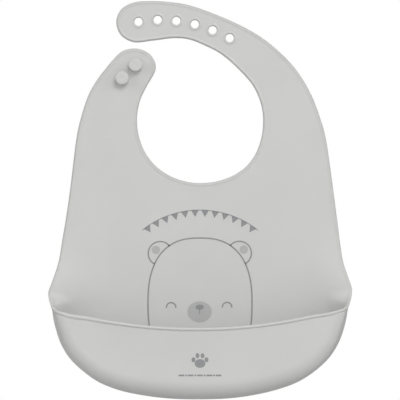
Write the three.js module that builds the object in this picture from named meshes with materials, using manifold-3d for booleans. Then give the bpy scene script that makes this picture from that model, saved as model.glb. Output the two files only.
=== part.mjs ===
// Silicone baby bib: a thin moulded sheet with a neck opening, a catch pocket at the bottom,
// a short strap with two snap studs and a long strap with six snap holes.
//
// Millimetres. The bib hangs as it is worn: +X to the right as seen from the front, +Z up,
// front towards -Y. The sheet's back lies in the plane y = 0, and the origin is the middle
// of the neck opening. Outlines are drawn in the sheet's plane as [x, z].

import * as THREE from 'three';
import { mergeVertices } from 'three/addons/utils/BufferGeometryUtils.js';
import Module from 'manifold-3d';

const wasm = await Module();
wasm.setup();

// ---- driving dimensions -------------------------------------------------------------------

const SHEET_THICKNESS = 2.0;
const BEAD_THICKNESS = 2.8;
const BEAD_WIDTH = 2.4;
const NECK_RADIUS = 48.3;
const OUTLINE_STEPS = 230;

const POCKET_DEPTH = 38;
const POCKET_CORNER_RADIUS = 14;
const POCKET_WALL = 2.0;
const POCKET_CORNER_STEPS = 5;
const RIM_MIDDLE_Z = -160.2;
const RIM_RISE_PER_SQUARE_MM = 0.00133;
const RIM_BAND = 3.0;
const RIM_PROUD = 0.8;
const RIM_HALF_WIDTH = 112;
const RIM_STEPS = 40;
// The mouth's edge along a side wall as [y, z], from the sheet to the front wall.
const SIDE_MOUTH_EDGE = [
  [0, -131],
  [-SHEET_THICKNESS, -132.5],
  [-22, -142.5],
  [-38.8, -147.6],
];

// Where the flexible sheet bends, and the clearance left at each bend.
const YOKE_FOLD_Z = -58;
const YOKE_FOLD_GAP = 2.2;
const STRAP_BEND_GAP = 1.1;
const POCKET_FOLD_Z = -188;
const POCKET_FOLD_GAP = 0.8;
const SEAM_GAP = 0.3;
const HOLE_STRAP_BENDS_DEG = [10, 33, 56, 76.2, 98.2];
const STUD_STRAP_BENDS_DEG = [180, 163];
const STRAP_TIPS_PART_Z = 57;
const STRAP_CUT_INNER_RADIUS = 28;

const HOLE_RADIUS = 3.05;
const HOLE_RING_RADIUS = 4.6;
const HOLE_CENTRES = [
  [22.6, 62.4],
  [9.6, 68.4],
  [-3.9, 72.9],
  [-18.0, 75.5],
  [-32.2, 76.3],
  [-46.8, 74.8],
];

const STUD_CENTRES = { stud_upper: [-49.1, 42.0], stud_lower: [-59.3, 31.9] };
const STUD_HEAD_RADIUS = 5.0;
const STUD_STEM_RADIUS = 2.8;
const STUD_SIDES = 20;

const PRINT_THICKNESS = 0.15;
const PRINT_LINE = 1.1;
const ELLIPSE_SIDES = 64;
const FACE_CENTRE = [0, -140];
const FACE_HALF_WIDTH = 39.5;
const FACE_HALF_HEIGHT = 49;
const FACE_BOTTOM_Z = -176;
const EAR_OFFSET = [30, 38.5];
const EAR_RADIUS = 9.2;
const MARK_CENTRE_Z = -182;
const MARK_PAD_RADIUS = 3.4;
const MARK_TOE_RADIUS = 1.7;
const MARK_TOE_REACH = 4.6;
const MARK_TOE_ANGLES_DEG = [35, 72, 108, 145];

// Far enough past the bib in every direction to cut it cleanly.
const BEYOND = 130;

// ---- outline of the sheet, counter-clockwise from the middle of the pocket's bottom --------

const POCKET_EDGE = [
  [0, -210.4],
  [39, -209.2],
  [62, -204],
  [83, -194.3],
  [97.2, -182.7],
  [105.5, -169.5],
  [110.3, -154],
  [113.2, -141.8],
];
const FLANK = [
  [115.9, -130.5],
  [114, -122.5],
  [111, -114],
  [107.4, -99],
  [103.7, -70],
  [100.3, -40],
  [97.3, -21],
  [92.6, -0.5],
  [83.3, 22.8],
  [73.2, 38.1],
];
const HOLE_STRAP = [
  [59.3, 53.5],
  [45, 64.7],
  [31.5, 72.5],
  [15.2, 79.9],
  [-8, 87.4],
  [-23, 89.9],
  [-38, 90.7],
  [-51, 89.4],
  [-60.3, 84],
  [-63.8, 74.5],
  [-60.4, 64.8],
  [-51, 59.7],
  [-36, 60.7],
  [-19, 62.3],
  [-8.4, 61.3],
  [2.7, 57.1],
  [16.8, 49.6],
];
const STUD_STRAP_TIP = [
  [-34, 37.5],
  [-33.9, 42.8],
  [-37.3, 49.2],
  [-43.5, 53.3],
  [-51, 54.5],
  [-59.2, 52.4],
  [-66.4, 45.8],
];
const NECK_ARC_DEG = { from: 40, to: -212, step: 12 };

function onCircle(radius, degrees) {
  const angle = THREE.MathUtils.degToRad(degrees);
  return [radius * Math.cos(angle), radius * Math.sin(angle)];
}

function mirrored(points) {
  return points.map(([x, z]) => [-x, z]).reverse();
}

function neckArc() {
  const points = [];
  for (let degrees = NECK_ARC_DEG.from; degrees >= NECK_ARC_DEG.to; degrees -= NECK_ARC_DEG.step) {
    points.push(onCircle(NECK_RADIUS, degrees));
  }
  return points;
}

function smoothClosed(points, steps) {
  const knots = points.map(([x, z]) => new THREE.Vector3(x, z, 0));
  const curve = new THREE.CatmullRomCurve3(knots, true, 'centripetal');
  return curve.getSpacedPoints(steps).slice(0, steps).map((point) => [point.x, point.y]);
}

function sheetOutline() {
  const points = [
    ...POCKET_EDGE,
    ...FLANK,
    ...HOLE_STRAP,
    ...neckArc(),
    ...STUD_STRAP_TIP,
    ...mirrored(FLANK),
    ...mirrored(POCKET_EDGE.slice(1)),
  ];
  return smoothClosed(points, OUTLINE_STEPS);
}

// Moves each point of a counter-clockwise closed outline inwards.
function inset(outline, distance) {
  const count = outline.length;
  return outline.map(([x, z], index) => {
    const before = outline[(index + count - 1) % count];
    const after = outline[(index + 1) % count];
    const along = new THREE.Vector2(after[0] - before[0], after[1] - before[1]).normalize();
    return [x - along.y * distance, z + along.x * distance];
  });
}

// ---- solids ---------------------------------------------------------------------------------

function toSolid(geometry) {
  const bare = geometry.clone();
  bare.deleteAttribute('normal');
  bare.deleteAttribute('uv');
  const merged = mergeVertices(bare, 1e-4);
  return new wasm.Manifold(new wasm.Mesh({
    numProp: 3,
    vertProperties: new Float32Array(merged.attributes.position.array),
    triVerts: new Uint32Array(merged.index.array),
  }));
}

function toGeometry(solid) {
  const mesh = solid.getMesh();
  const geometry = new THREE.BufferGeometry();
  geometry.setAttribute('position', new THREE.BufferAttribute(mesh.vertProperties, mesh.numProp));
  geometry.setIndex(new THREE.BufferAttribute(mesh.triVerts, 1));
  geometry.computeVertexNormals();
  return geometry;
}

function toShape(points) {
  return new THREE.Shape(points.map(([x, z]) => new THREE.Vector2(x, z)));
}

// A plate drawn in the sheet's plane, from yBack forwards to yFront (yFront is the smaller).
function plate(points, yBack, yFront, holes = []) {
  const shape = toShape(points);
  shape.holes = holes.map(toShape);
  const geometry = new THREE.ExtrudeGeometry(shape, {
    depth: yBack - yFront,
    bevelEnabled: false,
  });
  geometry.rotateX(Math.PI / 2);
  geometry.translate(0, yBack, 0);
  return toSolid(geometry);
}

function disc([x, z], radius, yBack, yFront, sides = 24) {
  const points = [];
  for (let index = 0; index < sides; index += 1) {
    const [dx, dz] = onCircle(radius, (360 * index) / sides);
    points.push([x + dx, z + dz]);
  }
  return plate(points, yBack, yFront);
}

// Everything between two heights, to cut pieces with.
function layer(zLow, zHigh) {
  const geometry = new THREE.BoxGeometry(4 * BEYOND, 2 * BEYOND, zHigh - zLow);
  geometry.translate(0, 0, (zLow + zHigh) / 2);
  return toSolid(geometry);
}

function region(points) {
  return plate(points, BEYOND, -BEYOND);
}

// A narrow radial slot through the sheet, where a strap bends.
function bendSlot(degrees) {
  const geometry = new THREE.BoxGeometry(BEYOND, BEYOND, STRAP_BEND_GAP);
  geometry.translate(BEYOND / 2, 0, 0);
  geometry.rotateY(-THREE.MathUtils.degToRad(degrees));
  return toSolid(geometry);
}

// ---- the sheet --------------------------------------------------------------------------------

function beadedSheet(outline) {
  const bead = plate(outline, 0, -BEAD_THICKNESS, [inset(outline, BEAD_WIDTH)]);
  let sheet = plate(outline, 0, -SHEET_THICKNESS).add(bead.intersect(layer(FLANK[0][1], BEYOND)));
  for (const centre of HOLE_CENTRES) {
    sheet = sheet.add(disc(centre, HOLE_RING_RADIUS, 0, -BEAD_THICKNESS));
  }
  for (const centre of HOLE_CENTRES) {
    sheet = sheet.subtract(disc(centre, HOLE_RADIUS, BEAD_THICKNESS, -2 * BEAD_THICKNESS));
  }
  return sheet;
}

function strapSector(fromDegrees, toDegrees) {
  return region([
    onCircle(STRAP_CUT_INNER_RADIUS, fromDegrees),
    onCircle(BEYOND, fromDegrees),
    onCircle(BEYOND, toDegrees),
    onCircle(STRAP_CUT_INNER_RADIUS, toDegrees),
  ]);
}

function sheetPieces(outline) {
  let sheet = beadedSheet(outline);
  sheet = sheet.subtract(layer(YOKE_FOLD_Z - YOKE_FOLD_GAP / 2, YOKE_FOLD_Z + YOKE_FOLD_GAP / 2));

  const [studRoot, studTab] = STUD_STRAP_BENDS_DEG;
  const [holeRoot, holeLower, holeMiddle, holeUpper, holeTab] = HOLE_STRAP_BENDS_DEG;
  const yokeRegion = region([
    [-BEYOND, YOKE_FOLD_Z],
    [BEYOND, YOKE_FOLD_Z],
    onCircle(BEYOND, holeRoot),
    [0, 0],
    onCircle(BEYOND, studRoot),
  ]);
  const studTabRegion = region([
    onCircle(STRAP_CUT_INNER_RADIUS, studTab),
    [-20, STRAP_TIPS_PART_Z],
    [-BEYOND, STRAP_TIPS_PART_Z],
    onCircle(BEYOND, studTab),
  ]);
  const holeTabRegion = region([
    onCircle(STRAP_TIPS_PART_Z, holeTab),
    onCircle(BEYOND, holeTab),
    [-BEYOND, BEYOND],
    [-BEYOND, STRAP_TIPS_PART_Z],
  ]);

  const pieces = {
    yoke_panel: sheet.intersect(yokeRegion),
    belly_panel: sheet.intersect(layer(-2 * BEYOND, YOKE_FOLD_Z)),
    stud_strap_root: sheet.intersect(strapSector(studTab, studRoot)),
    stud_strap_tab: sheet.intersect(studTabRegion),
    hole_strap_root: sheet.intersect(strapSector(holeRoot, holeLower)),
    hole_strap_lower: sheet.intersect(strapSector(holeLower, holeMiddle)),
    hole_strap_middle: sheet.intersect(strapSector(holeMiddle, holeUpper)),
    hole_strap_upper: sheet.intersect(strapSector(holeUpper, holeTab)),
    hole_strap_tab: sheet.intersect(holeTabRegion),
  };
  for (const [name, solid] of Object.entries(pieces)) {
    const bends = name.startsWith('stud') ? STUD_STRAP_BENDS_DEG : HOLE_STRAP_BENDS_DEG;
    const slots = name === 'yoke_panel' ? [studRoot, holeRoot] : bends;
    if (name !== 'belly_panel') {
      pieces[name] = slots.reduce((rest, degrees) => rest.subtract(bendSlot(degrees)), solid);
    }
  }
  return pieces;
}

// ---- the catch pocket -------------------------------------------------------------------------

// The wall's cross-section as [distance in from the outline, y], rounding into the front.
function pocketWallSection() {
  const turnY = -(POCKET_DEPTH - POCKET_CORNER_RADIUS);
  const innerRadius = POCKET_CORNER_RADIUS - POCKET_WALL;
  const outer = [[0, -SHEET_THICKNESS]];
  const inner = [[POCKET_WALL, -SHEET_THICKNESS]];
  for (let step = 0; step <= POCKET_CORNER_STEPS; step += 1) {
    const angle = (Math.PI / 2) * (step / POCKET_CORNER_STEPS);
    const inwards = 1 - Math.cos(angle);
    const forwards = Math.sin(angle);
    outer.push([POCKET_CORNER_RADIUS * inwards, turnY - POCKET_CORNER_RADIUS * forwards]);
    inner.push([POCKET_WALL + innerRadius * inwards, turnY - innerRadius * forwards]);
  }
  return [...outer, ...inner.reverse()];
}

// Sweeps the section along the sheet's edge from one pocket corner round to the other.
function pocketWall(outline) {
  const section = pocketWallSection();
  const lowered = outline.map((point, index) => ({ point, index })).filter(
    ({ point }) => point[1] < FLANK[0][1],
  );
  lowered.sort((a, b) => wrapped(a.index, outline.length) - wrapped(b.index, outline.length));
  const rings = lowered.map(({ point, index }) => {
    const inwards = inset(outline, 1)[index];
    const normal = [inwards[0] - point[0], inwards[1] - point[1]];
    return section.map(([u, y]) => [point[0] + u * normal[0], y, point[1] + u * normal[1]]);
  });
  return toSolid(loft(rings, section));
}

// Indices past halfway count as before the start, so that the run through index 0 is in order.
function wrapped(index, count) {
  return index > count / 2 ? index - count : index;
}

// Joins equal rings of points into one closed body, capped with the flat section.
function loft(rings, section) {
  const size = section.length;
  const positions = rings.flat(2);
  const faces = [];
  for (let ring = 0; ring < rings.length - 1; ring += 1) {
    for (let corner = 0; corner < size; corner += 1) {
      const next = (corner + 1) % size;
      const a = ring * size + corner;
      const b = ring * size + next;
      faces.push(a, a + size, b, b, a + size, b + size);
    }
  }
  const cap = THREE.ShapeUtils.triangulateShape(
    section.map(([u, y]) => new THREE.Vector2(u, y)),
    [],
  );
  const lastRing = (rings.length - 1) * size;
  for (const [a, b, c] of cap) {
    faces.push(a, b, c);
    faces.push(lastRing + a, lastRing + c, lastRing + b);
  }
  const geometry = new THREE.BufferGeometry();
  geometry.setAttribute('position', new THREE.Float32BufferAttribute(positions, 3));
  geometry.setIndex(faces);
  return geometry;
}

function rimZ(x) {
  return RIM_MIDDLE_Z + RIM_RISE_PER_SQUARE_MM * x * x;
}

// The region below the mouth's edge, lowered by drop.
function belowRim(drop) {
  const points = [
    [-RIM_HALF_WIDTH, -2 * BEYOND],
    [RIM_HALF_WIDTH, -2 * BEYOND],
  ];
  for (let step = 0; step <= RIM_STEPS; step += 1) {
    const x = RIM_HALF_WIDTH * (1 - (2 * step) / RIM_STEPS);
    points.push([x, rimZ(x) - drop]);
  }
  return points;
}

// The mouth's edge slopes up from the front's corners to the sheet, along the side walls.
function sideMouthCutter() {
  const first = SIDE_MOUTH_EDGE[0];
  const last = SIDE_MOUTH_EDGE[SIDE_MOUTH_EDGE.length - 1];
  const slope = [
    [BEYOND, BEYOND],
    [BEYOND, first[1]],
    ...SIDE_MOUTH_EDGE,
    [-BEYOND, last[1]],
    [-BEYOND, BEYOND],
  ];
  const geometry = new THREE.ExtrudeGeometry(toShape(slope), {
    depth: 4 * BEYOND,
    bevelEnabled: false,
  });
  geometry.translate(0, 0, -2 * BEYOND);
  geometry.rotateY(Math.PI / 2);
  geometry.rotateX(Math.PI / 2);
  return toSolid(geometry);
}

function pocketPieces(outline) {
  const front = -POCKET_DEPTH;
  const wall = pocketWall(outline).subtract(sideMouthCutter());
  const frontPlate = (margin) => plate(
    inset(outline, POCKET_CORNER_RADIUS + margin).filter(([, z]) => z < FLANK[0][1]),
    front + POCKET_WALL,
    front,
  );
  const lowerZ = POCKET_FOLD_Z - POCKET_FOLD_GAP / 2;
  const upperZ = POCKET_FOLD_Z + POCKET_FOLD_GAP / 2;
  const below = layer(-2 * BEYOND, lowerZ);
  const above = layer(upperZ, BEYOND);
  const left = region([[-BEYOND, -2 * BEYOND], [0, -2 * BEYOND], [0, 0], [-BEYOND, 0]]);

  const rim = plate(belowRim(0), front + POCKET_WALL, front - RIM_PROUD)
    .subtract(plate(belowRim(RIM_BAND), 0, -BEYOND));
  const insideCorners = plate(
    inset(outline, POCKET_CORNER_RADIUS + SEAM_GAP).filter(([, z]) => z < FLANK[0][1]),
    0,
    -BEYOND,
  );
  const sideWalls = wall.intersect(above);
  return {
    pocket_front: frontPlate(SEAM_GAP)
      .intersect(region(belowRim(0)))
      .intersect(above)
      .add(rim.intersect(insideCorners)),
    pocket_floor: wall.add(frontPlate(-1)).intersect(below),
    pocket_left_wall: sideWalls.intersect(left),
    pocket_right_wall: sideWalls.subtract(left),
  };
}

// ---- studs and printed film ---------------------------------------------------------------------

// A soft mushroom peg: foot fillet, stem, overhanging head with a rounded top.
function studGeometry() {
  const profile = [
    [0, 0],
    [4.2, 0],
    [3.2, 0.7],
    [STUD_STEM_RADIUS, 1.4],
    [STUD_STEM_RADIUS, 3.2],
    [STUD_HEAD_RADIUS, 3.6],
    [STUD_HEAD_RADIUS, 4.9],
    [4.3, 6.0],
    [2.6, 6.7],
    [0, 6.9],
  ].map(([radius, height]) => new THREE.Vector2(radius, height));
  const lathe = new THREE.LatheGeometry(profile, STUD_SIDES);
  const geometry = toGeometry(toSolid(lathe));
  geometry.rotateX(Math.PI);
  return geometry;
}

function ellipse([x, z], halfWidth, halfHeight) {
  const points = [];
  for (let index = 0; index < ELLIPSE_SIDES; index += 1) {
    const [cos, sin] = onCircle(1, (360 * index) / ELLIPSE_SIDES);
    points.push([x + halfWidth * cos, z + halfHeight * sin]);
  }
  return points;
}

// One line of ink: the outline of a round head with two ears, its chin behind the pocket.
function facePrint() {
  const film = (points) => plate(points, -SHEET_THICKNESS, -SHEET_THICKNESS - PRINT_THICKNESS);
  const cutter = (points) => plate(points, 0, -BEYOND);
  const head = (grow) => ellipse(FACE_CENTRE, FACE_HALF_WIDTH + grow, FACE_HALF_HEIGHT + grow);
  const ear = (side, grow) => ellipse(
    [FACE_CENTRE[0] + side * EAR_OFFSET[0], FACE_CENTRE[1] + EAR_OFFSET[1]],
    EAR_RADIUS + grow,
    EAR_RADIUS + grow,
  );
  const earHole = (side) => cutter(ear(side, -PRINT_LINE)).subtract(cutter(head(0)));
  return film(head(0))
    .add(film(ear(-1, 0)))
    .add(film(ear(1, 0)))
    .subtract(cutter(head(-PRINT_LINE)))
    .subtract(earHole(-1))
    .subtract(earHole(1))
    .intersect(layer(FACE_BOTTOM_Z, 0));
}

// A small generic paw mark on the pocket: one pad with four toes that touch it.
function pocketMark() {
  const back = -POCKET_DEPTH;
  const face = back - PRINT_THICKNESS;
  const centre = [0, MARK_CENTRE_Z];
  return MARK_TOE_ANGLES_DEG.reduce((mark, degrees) => {
    const [dx, dz] = onCircle(MARK_TOE_REACH, degrees);
    return mark.add(disc([dx, MARK_CENTRE_Z + dz], MARK_TOE_RADIUS, back, face, 16));
  }, disc(centre, MARK_PAD_RADIUS, back, face));
}

// ---- assembly -------------------------------------------------------------------------------------

function silicone() {
  return new THREE.MeshStandardMaterial({ color: 0xc8c8c6, roughness: 0.62, metalness: 0 });
}

function ink() {
  return new THREE.MeshStandardMaterial({ color: 0x9a9b9c, roughness: 0.7, metalness: 0 });
}

function named(name, geometry, material) {
  const mesh = new THREE.Mesh(geometry, material);
  mesh.name = name;
  return mesh;
}

function sheetGroup(outline) {
  const group = new THREE.Group();
  for (const [name, solid] of Object.entries(sheetPieces(outline))) {
    group.add(named(name, toGeometry(solid), silicone()));
  }
  group.add(named('face_print', toGeometry(facePrint()), ink()));
  return group;
}

function pocketGroup(outline) {
  const group = new THREE.Group();
  for (const [name, solid] of Object.entries(pocketPieces(outline))) {
    group.add(named(name, toGeometry(solid), silicone()));
  }
  group.add(named('pocket_mark', toGeometry(pocketMark()), ink()));
  return group;
}

function studGroup() {
  const group = new THREE.Group();
  for (const [name, [x, z]] of Object.entries(STUD_CENTRES)) {
    const stud = named(name, studGeometry(), silicone());
    stud.position.set(x, -SHEET_THICKNESS, z);
    group.add(stud);
  }
  return group;
}

const outline = sheetOutline();
const bib = new THREE.Group();
bib.add(sheetGroup(outline), pocketGroup(outline), studGroup());

export default bib;
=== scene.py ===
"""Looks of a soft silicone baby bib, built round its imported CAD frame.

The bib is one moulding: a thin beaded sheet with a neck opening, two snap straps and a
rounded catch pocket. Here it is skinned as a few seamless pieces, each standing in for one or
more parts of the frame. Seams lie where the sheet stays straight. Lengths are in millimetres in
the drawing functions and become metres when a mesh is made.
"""

import math

import bpy
import numpy as np
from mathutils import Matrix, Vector
from mathutils.geometry import delaunay_2d_cdt


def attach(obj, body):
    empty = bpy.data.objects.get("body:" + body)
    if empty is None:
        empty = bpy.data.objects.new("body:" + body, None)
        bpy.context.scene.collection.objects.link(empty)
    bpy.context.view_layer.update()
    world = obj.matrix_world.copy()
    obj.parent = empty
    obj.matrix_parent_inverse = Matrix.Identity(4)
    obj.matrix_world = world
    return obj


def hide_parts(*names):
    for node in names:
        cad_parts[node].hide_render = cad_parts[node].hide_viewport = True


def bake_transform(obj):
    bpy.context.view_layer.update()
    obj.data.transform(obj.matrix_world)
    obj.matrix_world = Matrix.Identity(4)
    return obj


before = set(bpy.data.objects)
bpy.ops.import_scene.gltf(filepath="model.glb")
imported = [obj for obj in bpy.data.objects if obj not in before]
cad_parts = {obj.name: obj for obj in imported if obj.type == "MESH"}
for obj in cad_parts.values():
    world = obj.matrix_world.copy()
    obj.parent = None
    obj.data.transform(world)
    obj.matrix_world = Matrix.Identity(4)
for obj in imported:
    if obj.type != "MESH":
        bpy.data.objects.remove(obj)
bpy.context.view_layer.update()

MM = 0.001

# ---- driving dimensions, in millimetres ------------------

SHEET = 2.0                 # thickness between the beads
BEAD = 0.35                 # how far the bead along the sheet's edge stands proud
RIM_BEAD = 0.95             # and the fatter bead along the pocket's rim
BEAD_FLAT = 1.5             # width of a bead's top
BEAD_FOOT = 2.8             # distance from the edge where a bead has sunk into the sheet
BACK_ROUNDING = 0.45        # radius of the sheet's back edge
EDGE_SLOPE = 1.1            # width of the slope that the mould leaves along a free edge
EDGE_SLOPE_DROP = 1.8       # and how far it falls
SLOPE_SOFTNESS = 0.12       # rounds the top of a slope
RIM_ROUNDING = 1.2          # radius of the rim's two edges
NECK_RADIUS = 47.9
NECK_FULLER = [             # where it is fuller: at and over how many degrees, and by how much
    (-43, 26, 1.9), (-138, 25, 0.7),
]

HOLE_RADIUS = 3.05
HOLE_RING = 0.6             # how far the ring round a hole stands proud
HOLE_RING_FLAT = 1.1
HOLE_RING_FOOT = 2.2
HOLE_SLOPE = 0.8
HOLE_SLOPE_DROP = 1.1
HOLE_CENTRES = [
    (22.6, 62.4), (9.6, 68.4), (-3.9, 72.9), (-18.0, 75.5), (-32.2, 76.3), (-46.8, 74.8),
]

STUD_CENTRES = {"stud_upper": (-49.1, 42.0), "stud_lower": (-59.3, 31.9)}
STUD_SINK = 0.15            # how far a stud's foot is sunk into the sheet

POCKET_DEPTH = 38.0
BACK_ROUND = 6.0            # radius where the pocket's wall leaves the sheet, low down
CORNER_ROUND = 22.0         # and at the mouth's corners
CORNER_FADE = 26.0          # how far along the outline the wide radius fades
MOUTH_EASE = 1.4            # how gently the mouth's edge leaves the sheet, and meets the front
CORNER_CURL = 9.0           # how far the sheet is drawn forward at the mouth's corners
CORNER_REACH = 27.0         # and how far into the sheet that reaches
FOOT_MARGIN = 24.0          # the pocket's skin takes this much of the sheet's rim with it
SEAM_RISE = 8.0             # and starts this far above the mouth's corners
FRONT_ROUND = 14.0          # radius where the wall turns into the front, along the bottom
SIDE_TIGHTER = 6.0          # how much tighter it is at the sides
SIDE_LEAN = math.radians(8)  # how much the side walls lean inwards
RIM_MIDDLE_Z = -157.2
RIM_RISE = 0.00133          # the rim's height grows with the square of x
RIM_LEFT_DROP = 0.012       # the left half hangs a little lower
RIM_CORNER_DROP = 1.2       # and it flattens out towards the corners
RIM_CORNER_X = (82, 18)     # from this x on, over this many millimetres
RIM_BAND = 3.2              # width of the rim's band
RIM_WIDER_LEFT = 0.3        # it widens by this share towards the left corner
RIM_WIDER_X = (55, 40)      # from this x on the left, over this many millimetres
RIM_STEADY = 5              # its width is averaged over so many lines
RIM_SHARPEST = 0.4          # least sine of the angle between a line and the rim
RIM_LONGEST = 0.85          # most of a line that the band may take
RIM_FORMED = 1.8            # the edge has the rim's shape 1 / 1.8 of the way to the front
INNER_BEAD_LESS = 0.75      # share by which the bead is lower on the rim's inside
FRONT_SWELL = 1.2           # how far the front leans out, this far up from its lower edge
FRONT_SWELL_CLIMB = 40.0
FRONT_LEFT_SWELL = 1.6      # and how much more on the left, where the mouth gapes
GAPE_X = (-62, 30)          # the middle and the spread of that gape

# Outline knots as (x, z), each run counter-clockwise as seen from the front.
POCKET_RIGHT = [
    (0, -211.8), (23, -211), (42, -208.4), (58, -204.7), (73, -199.6),
    (84.8, -192.9), (97.5, -181.6), (105.2, -169.8), (109.5, -157.5), (112.1, -145.2),
]
FLANK_RIGHT = [
    (115.9, -130.8), (113.2, -121.2), (109.2, -109), (107.1, -97), (104.7, -78),
    (101.6, -54), (98.3, -30), (96.4, -17), (93.6, -5), (84.6, 19.4), (73.4, 38),
]
HOLE_STRAP = [
    (59, 53.2), (44.7, 64.3), (31.1, 71.9), (14.9, 79.2), (-8, 87.4), (-23, 89.9),
    (-38, 90.7), (-51, 89.4), (-60.3, 84), (-63.8, 74.5), (-60.4, 64.8), (-51, 59.3),
    (-36, 60.4), (-19, 62.3), (-8.4, 61.3), (2.7, 57.1), (16.8, 49.6),
]
STUD_STRAP_TIP = [
    (-34, 37.5), (-33.9, 42.8), (-37.3, 49.2), (-43.5, 53.3),
    (-51, 54.5), (-59.2, 52.4), (-66.4, 45.8),
]
NECK_ARC_DEG = range(40, -213, -12)
FLANK_LEFT = [
    (-72.8, 38), (-77.6, 31.8), (-84.7, 19.6), (-92.2, -4), (-94.6, -17), (-96.2, -30),
    (-99.1, -54), (-102.6, -78), (-105, -92), (-107, -105), (-109.4, -114), (-112.6, -123.4),
    (-115.7, -133),
]
POCKET_LEFT = [
    (-112.4, -145.4), (-109.8, -157.4), (-105.9, -169.8), (-98.7, -181.7), (-85.7, -193.6),
    (-76.1, -199.6), (-60, -205.4), (-42, -209), (-23, -211.2),
]
STRAPS_PART_Z = 57.0        # the hole strap's tip is above this, the stud strap below
STUD_SIDE_DEG = 100         # and the stud strap is past this angle round the neck

# Skin pieces of the straps with the joint that each lies across, and their seams as angles round
# the neck.
STUD_SKINS = {
    "stud_strap_root_skin": "stud_strap_curl",
    "stud_strap_tab_skin": "stud_tab_curl",
}
HOLE_SKINS = {
    "hole_strap_root_skin": "hole_strap_curl",
    "hole_strap_lower_skin": "hole_lower_curl",
    "hole_strap_middle_skin": "hole_middle_curl",
    "hole_strap_upper_skin": "hole_upper_curl",
    "hole_strap_tab_skin": "hole_tab_curl",
}
HOLE_SEAMS_DEG = [-2, 21.5, 44.5, 64.5, 87.2]
STUD_SEAMS_DEG = [190, 171.5]
SEAM_REACH = (35, 105)      # a seam is drawn between these distances from the neck's middle

# How finely the meshes are cut.
OUTLINE_STEP = 1.3
POCKET_STEP = 1.8
CORNER_STEP = 0.7           # near the mouth's corners the pocket is cut finer
CORNER_LENGTH = 35.0        # up to this far from them along the outline
STEADY_LENGTH = 14.0        # its lines turn as the outline does, averaged this far either way
STEADY_STEPS = 21
RELAX_ROUNDS = 40           # how often they are evened out near the corners
RELAX_EASE = 12.0           # which fades in over this much from a seam along the outline
RELAX_ROWS = 14             # and over this many rows from the seam with the sheet
RELAX_STEP = 0.5
COARSE_GRID = ((-114, 115), (-206, -72), 3.0)       # x range, z range and step
FINE_GRID = ((-106, 107), (-70, 92), 2.0)
GRID_CLEARANCE = 0.8        # the grid keeps this far from the last ring of an edge
HOLE_CLEARANCE = 0.7        # or of a hole
HOLE_SIDES = 48
HOLE_EMPTY = 0.995          # triangles within this share of a hole's radius are left out
SAME_POINT = 1e-4
LEAST_TURN = 1e-3
LEAST_CLIMB = 1e-9
RIM_PROBE = 0.5             # a line's direction at the rim is taken over this length
# Distances from the edge of the rings along it, round a hole, and of the rows over the rim.
EDGE_RINGS = [0, 0.12, 0.3, 0.6, 0.9, 1.05, 1.2, 1.5, 1.9, 2.2, 2.5, 2.8, 3.3]
HOLE_RINGS = [0, 0.12, 0.35, 0.6, 0.72, 0.85, 1.1, 1.35, 1.6, 1.9, 2.2, 2.6]
RIM_ROWS = [3.2, 2.8, 2.55, 2.3, 2.0, 1.75, 1.5, 1.2, 1.05, 0.9, 0.6, 0.3, 0.12, 0]
WALL_ROWS = 64              # the rows below those, up the pocket's wall


# ---- small helpers ---------------------------------------

def on_circle(radius, degrees):
    """The point at that angle on a circle round the origin."""
    angle = math.radians(degrees)
    return (radius * math.cos(angle), radius * math.sin(angle))


def smooth(value):
    """Eases from 0 to 1 as the value does."""
    value = np.clip(value, 0.0, 1.0)
    return value * value * (3 - 2 * value)


def bump(distance, flat, foot):
    """1 on top of a bead, falling smoothly to 0 at its foot."""
    return 1 - smooth((distance - flat) / (foot - flat))


def rounding(distance, radius):
    """How far a surface sinks at this distance from a rounded edge."""
    near = np.clip(radius - distance, 0.0, radius)
    return radius - np.sqrt(radius * radius - near * near)


def sloped(distance, width, drop):
    """How far a moulded edge's slope sinks at this distance from the edge, softened at its top."""
    share = 1 - distance / width
    return drop * (share + np.hypot(share, SLOPE_SOFTNESS)) / 2


def new_object(name, points_mm, faces, material, sharp_deg=40):
    """A mesh object in metres, shaded smoothly but for its sharp edges."""
    mesh = bpy.data.meshes.new(name)
    mesh.from_pydata([tuple(MM * c for c in p) for p in points_mm], [], faces)
    mesh.validate()
    mesh.shade_smooth()
    mesh.set_sharp_from_angle(angle=math.radians(sharp_deg))
    mesh.materials.append(material)
    thing = bpy.data.objects.new(name, mesh)
    bpy.context.scene.collection.objects.link(thing)
    return thing


# ---- the outline, as a closed centripetal spline ---------

def neck_radius(degrees):
    """The neck opening is nearly round, a little fuller low on either side."""
    fuller = [by * math.exp(-((degrees - at) / over) ** 2) for at, over, by in NECK_FULLER]
    return sum(fuller, NECK_RADIUS)


def outline_knots():
    """The outline's knots, counter-clockwise from the middle of the pocket's bottom."""
    neck = [on_circle(neck_radius(degrees), degrees) for degrees in NECK_ARC_DEG]
    top = FLANK_RIGHT + HOLE_STRAP + neck + STUD_STRAP_TIP + FLANK_LEFT
    return POCKET_RIGHT + top + POCKET_LEFT


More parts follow.
